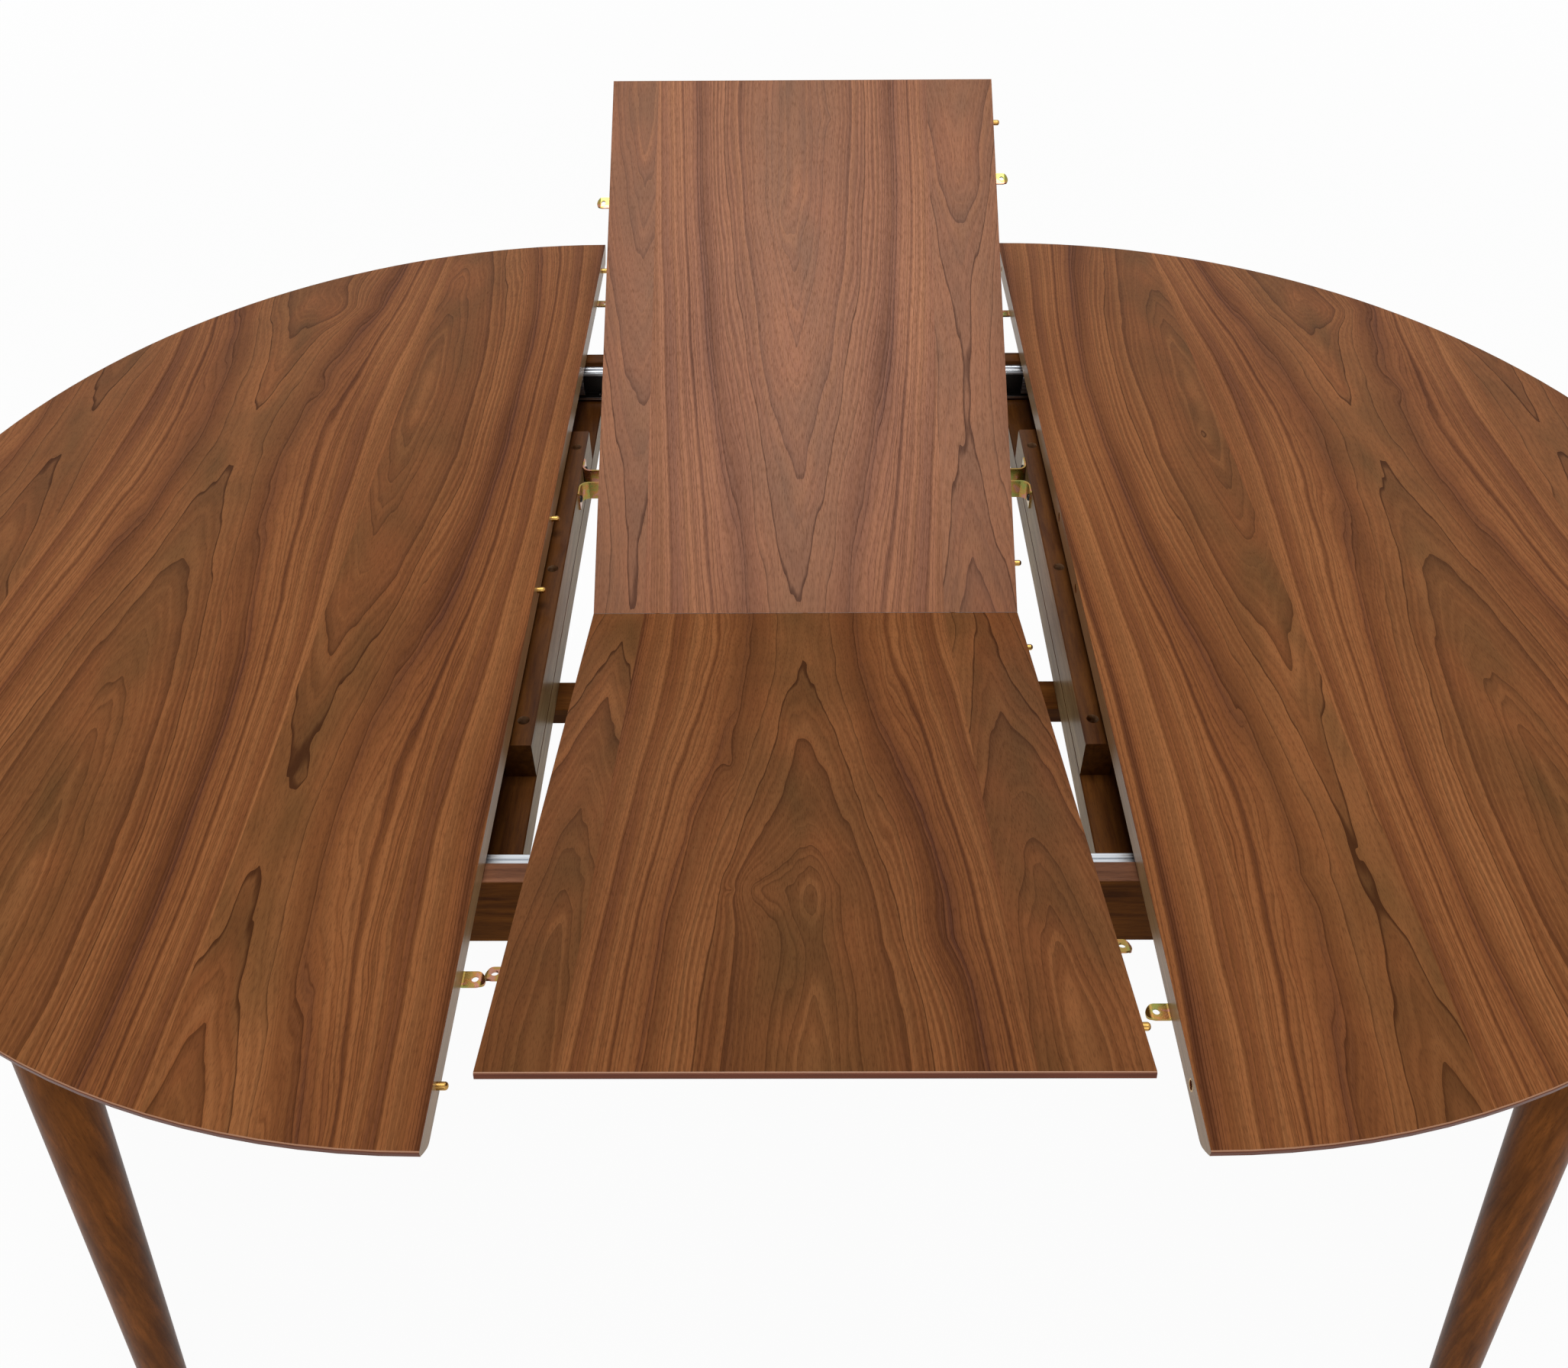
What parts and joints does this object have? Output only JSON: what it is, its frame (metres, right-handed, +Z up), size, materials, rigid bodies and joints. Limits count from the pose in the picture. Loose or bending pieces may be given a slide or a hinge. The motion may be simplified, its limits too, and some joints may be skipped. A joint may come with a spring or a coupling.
{
  "type": "butterfly leaf table",
  "caption": "Round extending dining table whose halves draw apart on ball-bearing slides over a two-panel butterfly leaf that swings up on pivots and unfolds.",
  "frame": {"origin": "on the floor under the middle of the table, between the four legs", "axes": "+X the way the right half pulls out, +Y along the leaf away from the viewer, +Z up"},
  "size_m": [1.6746, 1.2, 0.9859],
  "materials": {
    "veneered_top": "satin walnut veneer",
    "walnut_frame": "satin brown stain",
    "stained_leg": "satin dark brown stain",
    "stained_carriage": "satin dark brown stain",
    "zinc_slide": "bright zinc plate",
    "yellow_zinc": "yellow zinc plate",
    "brass_fitting": "plain brass",
    "glide": "matte"
  },
  "bodies": {
    "carriage": {"board_back": "stained_carriage", "board_front": "stained_carriage", "cleat_left": "stained_carriage", "cleat_right": "stained_carriage", "cross_bar": "stained_carriage", "pivot_bolt_left": "zinc_slide", "pivot_bolt_right": "zinc_slide", "pivot_bracket_left": "yellow_zinc", "pivot_bracket_right": "yellow_zinc", "rail_left": "stained_carriage", "rail_right": "stained_carriage", "slide_outer_back": "zinc_slide", "slide_outer_front": "zinc_slide"},
    "left_half": {"apron_left": "walnut_frame", "glide_left_back": "glide", "glide_left_front": "glide", "leg_block_left_back": "walnut_frame", "leg_block_left_front": "walnut_frame", "leg_left_back": "stained_leg", "leg_left_front": "stained_leg", "locks_left": "yellow_zinc", "pins_left": "brass_fitting", "runner_left_back": "walnut_frame", "runner_left_front": "walnut_frame", "slide_inner_left_back": "zinc_slide", "slide_inner_left_front": "zinc_slide", "top_left": "veneered_top"},
    "right_half": {"apron_right": "walnut_frame", "glide_right_back": "glide", "glide_right_front": "glide", "leg_block_right_back": "walnut_frame", "leg_block_right_front": "walnut_frame", "leg_right_back": "stained_leg", "leg_right_front": "stained_leg", "locks_right": "yellow_zinc", "runner_right_back": "walnut_frame", "runner_right_front": "walnut_frame", "slide_inner_right_back": "zinc_slide", "slide_inner_right_front": "zinc_slide", "top_right": "veneered_top"},
    "ball_cages_left": {"ball_cages_left": "zinc_slide"},
    "ball_cages_right": {"ball_cages_right": "zinc_slide"},
    "leaf_far": {"hinge_barrels_far": "brass_fitting", "leaf_locks_far": "yellow_zinc", "leaf_panel_far": "veneered_top", "leaf_pins_far": "brass_fitting", "pivot_lug_left": "yellow_zinc", "pivot_lug_right": "yellow_zinc"},
    "seam_links_far": {"hinge_links_far": "brass_fitting"},
    "seam_links_near": {"hinge_links_near": "brass_fitting"},
    "leaf_near": {"hinge_barrels_near": "brass_fitting", "leaf_locks_near": "yellow_zinc", "leaf_panel_near": "veneered_top", "leaf_pins_near": "brass_fitting"}
  },
  "joints": [
    {"name": "left_half_slide", "type": "slide", "parent": "carriage", "child": "left_half", "axis": [-1, 0, 0], "range_m": [-0.0369, 0.0126]},
    {"name": "right_half_slide", "type": "slide", "parent": "carriage", "child": "right_half", "axis": [1, 0, 0], "range_m": [-0.0369, 0.0126]},
    {"name": "left_cage_slide", "type": "slide", "parent": "carriage", "child": "ball_cages_left", "axis": [-1, 0, 0], "range_m": [-0.0185, 0.0064]},
    {"name": "right_cage_slide", "type": "slide", "parent": "carriage", "child": "ball_cages_right", "axis": [1, 0, 0], "range_m": [-0.0185, 0.0064]},
    {"name": "leaf_swing", "type": "hinge", "parent": "carriage", "child": "leaf_far", "pos_m": [0, 0.148, 0.722], "axis": [1, 0, 0], "range_deg": [-31.1, 3.5]},
    {"name": "seam_link_turn", "type": "hinge", "parent": "leaf_far", "child": "seam_links_far", "pos_m": [0, 0.00149, 0.67835], "axis": [-1, 0, 0], "range_deg": [-44.35, 5]},
    {"name": "leaf_fold", "type": "hinge", "parent": "seam_links_far", "child": "seam_links_near", "pos_m": [0, 0.00149, 0.67835], "axis": [-1, 0, 0], "range_deg": [0, 74.4]},
    {"name": "near_panel_turn", "type": "hinge", "parent": "seam_links_near", "child": "leaf_near", "pos_m": [0, 0.00149, 0.67835], "axis": [-1, 0, 0], "range_deg": [0, 55.85]}
  ],
  "couplings": [
    {"joint": "left_cage_slide", "follows": "left_half_slide", "ratio": 0.5},
    {"joint": "right_cage_slide", "follows": "right_half_slide", "ratio": 0.5},
    {"joint": "seam_link_turn", "follows": "leaf_swing", "ratio": 1.4244},
    {"joint": "near_panel_turn", "follows": "leaf_fold", "ratio": 0.75}
  ]
}
